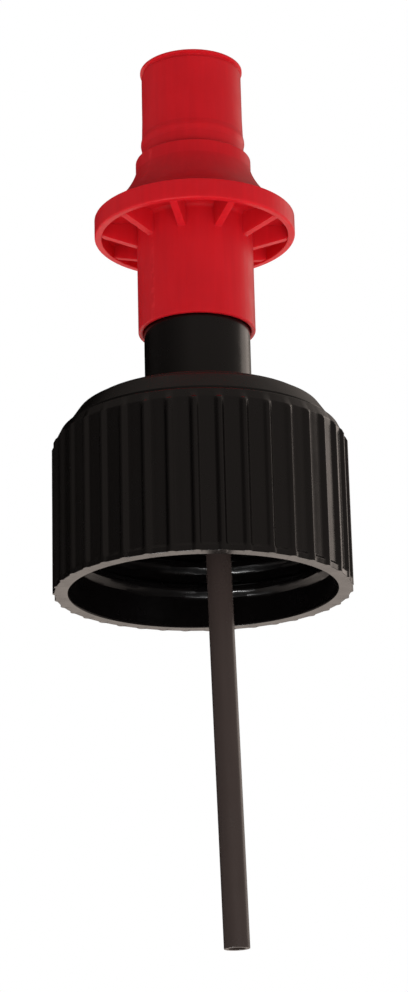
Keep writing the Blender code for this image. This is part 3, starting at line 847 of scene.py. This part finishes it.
def build_actuator(material):
    """Sleeve, ribbed finger flange, bell, boss, and the ring that the collar snaps on."""
    head = Extent("actuator")
    sleeve = 11.68
    boss_bore = 5.3
    deck = Extent("hose_collar").bottom - GAP
    bell_top = deck - 2.5
    flange_bottom = head.bottom + 20.4
    flange_top = flange_bottom + 4.0
    recess = flange_bottom + 2.75
    rib_foot = flange_bottom - 2.1
    wall = head.radius - 1.4
    wall_foot = flange_bottom + 0.35
    edge = outline_of(
        [
            (head.radius, flange_top - 0.1, 0),
            (head.radius, flange_bottom, 0.45),
            (wall, flange_bottom, 0.3),
            (wall, wall_foot, 0),
        ],
        closed=False,
    )
    hollow = outline_of(
        [
            (wall, wall_foot, 0),
            (wall - 0.1, recess, 0.5),
            (sleeve, recess, 0.9),
            (sleeve, rib_foot, 0),
        ],
        closed=False,
    )
    hollow = spread(hollow, 0.45)
    slanted = straightened(hollow, (wall, wall_foot - 0.1), (sleeve, rib_foot + 0.1))
    above = deck_outline(head, deck, sleeve, boss_bore, bell_top)
    above += bell_points(sleeve, head.radius, bell_top, flange_top) + edge[:-1]
    below = sleeve_outline(head, rib_foot, sleeve, boss_bore, bell_top)[:-1]
    piece = ribbed(
        "actuator_shell",
        above + hollow[:-1] + below,
        above + slanted[:-1] + below,
        FLANGE_RIBS,
        FIRST_FLANGE_RIB,
        half_width=0.82,
        flank=0.2,
        bay_columns=12,
    )
    finished(piece, "head", material, "red_plastic", "actuator")


def build_hose_collar(material):
    """The collar, with a lip and a groove at its top and a bead near its foot."""
    collar = Extent("hose_collar")
    foot = collar.bottom
    tube = collar.radius - 0.36
    bore = tube - 1.1
    corners = [
        (tube + 0.28, collar.top, 0.1),
        (tube + 0.28, collar.top - 0.45, 0.1),
        (tube - 0.35, collar.top - 0.6, 0.1),
        (tube - 0.35, collar.top - 1.15, 0.15),
        (tube, collar.top - 1.35, 0.1),
        (tube + 0.02, foot + 9.0, 2.0),
        (tube + 0.12, foot + 5.0, 1.0),
        (tube + 0.32, foot + 4.1, 0.4),
        (tube + 0.36, foot + 3.6, 0.3),
        (tube + 0.22, foot + 2.9, 0.3),
        (tube + 0.16, foot + 2.4, 0.5),
        (tube + 0.22, foot + 0.3, 0.2),
        (tube, foot, 0.1),
        (bore + 0.2, foot, 0.15),
        (bore + 0.2, foot + 2.4, 0.2),
        (bore + 0.45, foot + 3.0, 0.2),
        (bore + 0.45, foot + 3.6, 0.2),
        (bore, foot + 5.0, 0.4),
        (bore, collar.top, 0.35),
    ]
    finished(turned("collar_shell", corners), "head", material, "red_plastic", "hose_collar")


def build_nipple(material):
    """The barbed hose nipple; its foot plugs the outlet valve's chamber."""
    nipple = Extent("outlet_nipple")
    flange_bottom = Extent("actuator").top + GAP
    flange_top = flange_bottom + 1.1
    barb_pitch = 1.9
    barb_length = 1.5
    crest = 3.6
    shank = 3.0
    plug = 3.4
    bore = 1.9
    port = 1.2
    corners = [(2.75, nipple.top, 0.2)]
    for index in range(BARBS):
        shoulder = nipple.top - barb_pitch * index - barb_length
        corners.append((crest, shoulder + 0.15, 0.12))
        corners.append((crest - 0.1, shoulder, 0.05))
        corners.append((shank, shoulder, 0.1))
        if index < BARBS - 1:
            corners.append((shank, shoulder + barb_length - barb_pitch, 0.1))
    corners += [
        (shank, flange_top, 0.2),
        (nipple.radius, flange_top, 0.3),
        (nipple.radius, flange_bottom, 0.3),
        (plug, flange_bottom, 0.2),
        (plug, nipple.bottom, 0.3),
        (port, nipple.bottom, 0.1),
        (port, nipple.bottom + 1.4, 0.1),
        (bore, nipple.bottom + 2.1, 0.1),
        (bore, nipple.top, 0.2),
    ]
    piece = turned("nipple_shell", corners, columns=96)
    finished(piece, "head", material, "black_plastic", "outlet_nipple")


# ---------------------------------------------------------------- inner parts


def build_ring(node, body, material):
    """An O-ring, as large and as thick as the CAD ring."""
    ring = Extent(node)
    half = (ring.top - ring.bottom) / 2
    middle = ring.radius - half
    square = [
        (ring.radius, ring.top, half),
        (ring.radius, ring.bottom, half),
        (middle - half, ring.bottom, half),
        (middle - half, ring.top, half),
    ]
    finished(turned(node + "_round", square, columns=96), body, material, "rubber", node)


def build_spring(node, body, material, wire, turns):
    """A coil with level end turns."""
    spring = Extent(node)
    radius = spring.radius - wire / 2
    low, high = spring.bottom + wire / 2, spring.top - wire / 2
    level_turns = 0.75
    steps = round(turns * 40)
    path = []
    for step in range(steps + 1):
        turn = turns * step / steps
        rise = min(max((turn - level_turns) / (turns - 2 * level_turns), 0.0), 1.0)
        angle = 2 * math.pi * turn
        path.append((radius * math.cos(angle), radius * math.sin(angle), mixed(low, high, rise)))
    piece = swept(node + "_coil", path, wire / 2, sides=14)
    finished(piece, body, material, "steel", node)
    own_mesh(piece)


def build_ball(node, body, material):
    ball = Extent(node)
    mesh = bpy.data.meshes.new(node + "_round")
    shape = bmesh.new()
    radius = (ball.top - ball.bottom) / 2
    bmesh.ops.create_icosphere(shape, subdivisions=4, radius=radius * MM)
    centre = Vector((ball.middle, 0.0, ball.bottom + radius + rim_height)) * MM
    bmesh.ops.translate(shape, vec=centre, verts=shape.verts)
    shape.to_mesh(mesh)
    shape.free()
    piece = bpy.data.objects.new(node + "_round", mesh)
    bpy.context.scene.collection.objects.link(piece)
    finished(piece, body, material, "steel", node)


def build_piston(plastic, seal_rubber):
    """The piston and the cup seal in its groove."""
    piston = Extent("piston")
    seal = Extent("piston_seal")
    groove = 7.1
    stem_seat = piston.bottom + 1.5
    corners = [
        (piston.radius, piston.top, 0.4),
        (piston.radius, seal.top + GAP, 0.15),
        (groove, seal.top + GAP, 0.15),
        (groove, seal.bottom - GAP, 0.15),
        (piston.radius, seal.bottom - GAP, 0.15),
        (piston.radius, piston.bottom, 0.4),
        (STEM_BORE, piston.bottom, 0.2),
        (STEM_BORE, stem_seat, 0.1),
        (STEM_HOLE, stem_seat, 0.1),
        (STEM_HOLE, piston.top, 0.3),
    ]
    piece = turned("piston_body", corners, columns=96)
    finished(piece, "piston", plastic, "natural_plastic", "piston")
    lip = groove + 0.3
    cup = [
        (seal.radius - 0.2, seal.top, 0.08),
        (seal.radius, seal.top - 0.3, 0.15),
        (seal.radius, seal.bottom + 0.3, 0.2),
        (seal.radius - 0.3, seal.bottom, 0.15),
        (lip + 0.2, seal.bottom, 0.2),
        (lip, seal.bottom + 0.25, 0.1),
        (lip, seal.top, 0.08),
        (lip + 0.2, seal.top, 0.05),
        (lip + 0.45, seal.top - 1.1, 0.2),
    ]
    piece = turned("piston_cup", cup, columns=96)
    finished(piece, "piston", seal_rubber, "rubber", "piston_seal")


def build_stem(material):
    stem = Extent("piston_stem")
    ring = Extent("stem_o_ring")
    collar_bottom = Extent("piston").top + GAP
    outer = stem.radius - 1.2
    groove = outer - 1.0
    groove_top = ring.top + 0.27
    groove_bottom = ring.bottom - 0.27
    corners = [
        (outer, stem.top, 0.3),
        (outer, groove_top, 0.1),
        (groove, groove_top, 0.1),
        (groove, groove_bottom, 0.1),
        (outer, groove_bottom, 0.1),
        (outer, collar_bottom + 0.8, 0.2),
        (stem.radius, collar_bottom + 0.8, 0.2),
        (stem.radius, collar_bottom, 0.2),
        (outer, collar_bottom, 0.1),
        (outer, stem.bottom, 0.3),
        (STEM_BORE, stem.bottom, 0.2),
        (STEM_BORE, stem.top, 0.2),
    ]
    piece = turned("stem_tube", corners, columns=96)
    finished(piece, "head", material, "natural_plastic", "piston_stem")


def build_guide(plastic, seal_rubber):
    """The guide in the barrel's top, and the wiper it holds round the stem."""
    guide = Extent("barrel_collar")
    wiper = Extent("stem_wiper")
    plug = Extent("piston").radius + PLUG_OVER_PISTON
    shelf = Extent("barrel").top + GAP
    pocket = wiper.radius + GAP
    corners = [
        (guide.radius, guide.top, 0.3),
        (guide.radius, shelf, 0.15),
        (plug, shelf, 0.15),
        (plug, guide.bottom, 0.4),
        (STEM_HOLE, guide.bottom, 0.2),
        (STEM_HOLE, wiper.bottom - GAP, 0.1),
        (pocket, wiper.bottom - GAP, 0.1),
        (pocket, guide.top, 0.2),
    ]
    piece = turned("guide_collar", corners, columns=96)
    finished(piece, "barrel", plastic, "natural_plastic", "barrel_collar")
    root = 4.8
    lip = 4.4
    lips = [
        (wiper.radius, wiper.top, 0.25),
        (wiper.radius, wiper.bottom, 0.15),
        (root, wiper.bottom, 0.15),
        (root, wiper.bottom + 0.8, 0.2),
        (lip, wiper.top - 0.4, 0.1),
        (lip, wiper.top, 0.1),
    ]
    piece = turned("wiper_ring", lips, columns=72)
    finished(piece, "barrel", seal_rubber, "rubber", "stem_wiper")


# ---------------------------------------------------------------- studio


def build_floor():
    """A wide pale floor below the object and the camera, evenly lit whatever the lights do."""
    mesh = bpy.data.meshes.new("floor")
    shape = bmesh.new()
    bmesh.ops.create_circle(shape, cap_ends=True, segments=96, radius=3.0)
    shape.to_mesh(mesh)
    shape.free()
    floor = bpy.data.objects.new("floor", mesh)
    bpy.context.scene.collection.objects.link(floor)
    floor.location.z = FLOOR_HEIGHT * MM
    material, nodes, shader = new_material("floor")
    cloud = nodes.ranged(nodes.noise(180.0), 0.3, 0.7, 0.0, 1.0)
    pale = nodes.blend(cloud, (0.80, 0.80, 0.79, 1.0), (0.84, 0.84, 0.83, 1.0))
    nodes.feed(shader.inputs["Emission Color"], pale)
    shader.inputs["Emission Strength"].default_value = 1.0
    shader.inputs["Base Color"].default_value = BLACK
    shader.inputs["Specular IOR Level"].default_value = 0.0
    mesh.materials.append(material)
    floor.visible_diffuse = False
    floor.visible_glossy = False


def dome_brightness(nodes, to_right, to_back, upwards):
    """What matt surfaces see in a direction, given by its parts from -1 to 1."""
    level = DOME_LEVEL
    for part, gain in ((to_right, DOME_TO_RIGHT), (to_back, DOME_TO_BACK), (upwards, DOME_UPWARDS)):
        level = nodes.math("ADD", level, nodes.math("MULTIPLY", part, gain))
    return level


def room_brightness(nodes, to_right, to_back, upwards):
    """What glossy surfaces see in a direction, given by its parts from -1 to 1."""
    left_half = nodes.ranged(to_right, -1.0, -0.2, ROOM_LEFT, ROOM_FRONT)
    right_half = nodes.ranged(to_right, 0.0, 0.8, 0.0, ROOM_RIGHT - ROOM_FRONT)
    front = nodes.math("ADD", left_half, right_half)
    behind = nodes.ranged(to_right, -0.1, 0.5, ROOM_BEHIND_LEFT, ROOM_BEHIND_RIGHT)
    behind_start = nodes.ranged(to_right, -0.5, 0.5, 0.15, -0.1)
    behind_share = nodes.ranged(to_back, behind_start, 0.65, 0.0, 1.0)
    below = nodes.ranged(to_back, 0.1, 0.7, ROOM_BELOW, ROOM_LOW_BEHIND)
    below_share = nodes.ranged(upwards, -0.12, -0.22, 0.0, 1.0)
    return nodes.mixed(below_share, nodes.mixed(behind_share, front, behind), below)


def build_world():
    """White to the camera, a soft dome to matt surfaces and a dim room to glossy ones."""
    world = bpy.data.worlds.new("studio")
    bpy.context.scene.world = world
    world.use_nodes = True
    world.cycles.sampling_method = "NONE"
    nodes = Nodes(world.node_tree)
    direction = world.node_tree.nodes.new("ShaderNodeSeparateXYZ")
    nodes.feed(direction.inputs[0], nodes.coordinates["Generated"])
    dome_colour = nodes.blend(dome_brightness(nodes, *direction.outputs), BLACK, WHITE)
    room_colour = nodes.blend(room_brightness(nodes, *direction.outputs), BLACK, WARM)

    rays = world.node_tree.nodes.new("ShaderNodeLightPath").outputs
    colour = nodes.blend(rays["Is Diffuse Ray"], room_colour, dome_colour)
    colour = nodes.blend(rays["Is Camera Ray"], colour, WHITE)
    nodes.feed(world.node_tree.nodes["Background"].inputs["Color"], colour)


def add_softbox(name, place, width, height, power, colour=WHITE, matt=True, glossy=True):
    """A soft rectangular light that faces the pump's middle.

    place is measured from the scene's origin. matt and glossy say which surfaces it lights.
    """
    light = bpy.data.lights.new(name, "AREA")
    light.shape = "RECTANGLE"
    light.size = width * MM
    light.size_y = height * MM
    light.energy = power
    light.color = colour[:3]
    lamp = bpy.data.objects.new(name, light)
    bpy.context.scene.collection.objects.link(lamp)
    lamp.location = Vector(place) * MM
    target = (cad_low + cad_high) / 2
    lamp.rotation_mode = "QUATERNION"
    lamp.rotation_quaternion = (target - lamp.location).to_track_quat("-Z", "Y")
    lamp.visible_camera = False
    lamp.visible_diffuse = matt
    lamp.visible_glossy = glossy


def build_camera():
    """Low in front, looking up, and rolled a little."""
    data = bpy.data.cameras.new("camera")
    data.sensor_width = 36.0
    data.lens = CAMERA_LENS
    data.clip_start = 0.01
    data.clip_end = 20.0
    camera = bpy.data.objects.new("camera", data)
    bpy.context.scene.collection.objects.link(camera)
    place = Vector((CAMERA_SIDE, -CAMERA_DISTANCE, rim_height - CAMERA_DROP)) * MM
    pitch = Matrix.Rotation(math.radians(90.0 + CAMERA_PITCH), 4, "X")
    roll = Matrix.Rotation(math.radians(-CAMERA_ROLL), 4, "Z")
    camera.matrix_world = Matrix.Translation(place) @ pitch @ roll
    bpy.context.scene.camera = camera


# ---------------------------------------------------------------- build

red = moulded_plastic("red_plastic", (0.60, 0.0095, 0.016, 1.0), 0.36, shine=0.15, glow=0.3)
black = moulded_plastic("black_plastic", (0.0022, 0.0016, 0.0017, 1.0), 0.24, wear=0.1)
tube_brown = moulded_plastic(
    "tube_plastic", (0.044, 0.0315, 0.028, 1.0), 0.24, shine=0.3, grain=0.1
)
natural = moulded_plastic("natural_plastic", (0.72, 0.70, 0.64, 1.0), 0.40)
seal_rubber = rubber("black_rubber", (0.012, 0.012, 0.013, 1.0), 0.62)
liner_foam = rubber("liner_foam", (0.030, 0.030, 0.032, 1.0), 0.75)
steel = drawn_steel()

build_screw_cap(black)
build_liner(liner_foam)
build_barrel(black)
build_foot_valve(black)
build_ball_cage(natural)
build_vent_valve(seal_rubber)
build_dip_tube(tube_brown)
build_guide(natural, seal_rubber)
build_ring("foot_o_ring", "barrel", seal_rubber)
build_ball("inlet_ball", "inlet_ball", steel)
build_spring(
    "return_spring",
    "barrel",
    steel,
    wire=1.1,
    turns=7.5,
)

build_piston(natural, seal_rubber)

build_actuator(red)
build_hose_collar(red)
build_nipple(black)
build_stem(natural)
build_ring("stem_o_ring", "head", seal_rubber)
build_ring("nipple_o_ring", "head", seal_rubber)
build_ball("outlet_ball", "outlet_ball", steel)
build_spring(
    "outlet_spring",
    "head",
    steel,
    wire=0.5,
    turns=3.5,
)

build_floor()
build_world()
add_softbox(
    "low_front",
    place=(66.0, -198.0, -18.0),
    width=156.0,
    height=156.0,
    power=0.20,
    glossy=False,
)
add_softbox(
    "rim_light",
    place=(390.0, 290.0, 230.0),
    width=320.0,
    height=320.0,
    power=0.36,
    colour=WARM,
    matt=False,
)
add_softbox(
    "thread_glint",
    place=(-50.0, -55.0, -90.0),
    width=70.0,
    height=14.0,
    power=0.22,
    matt=False,
)
build_camera()
bpy.context.scene.view_settings.view_transform = "Standard"
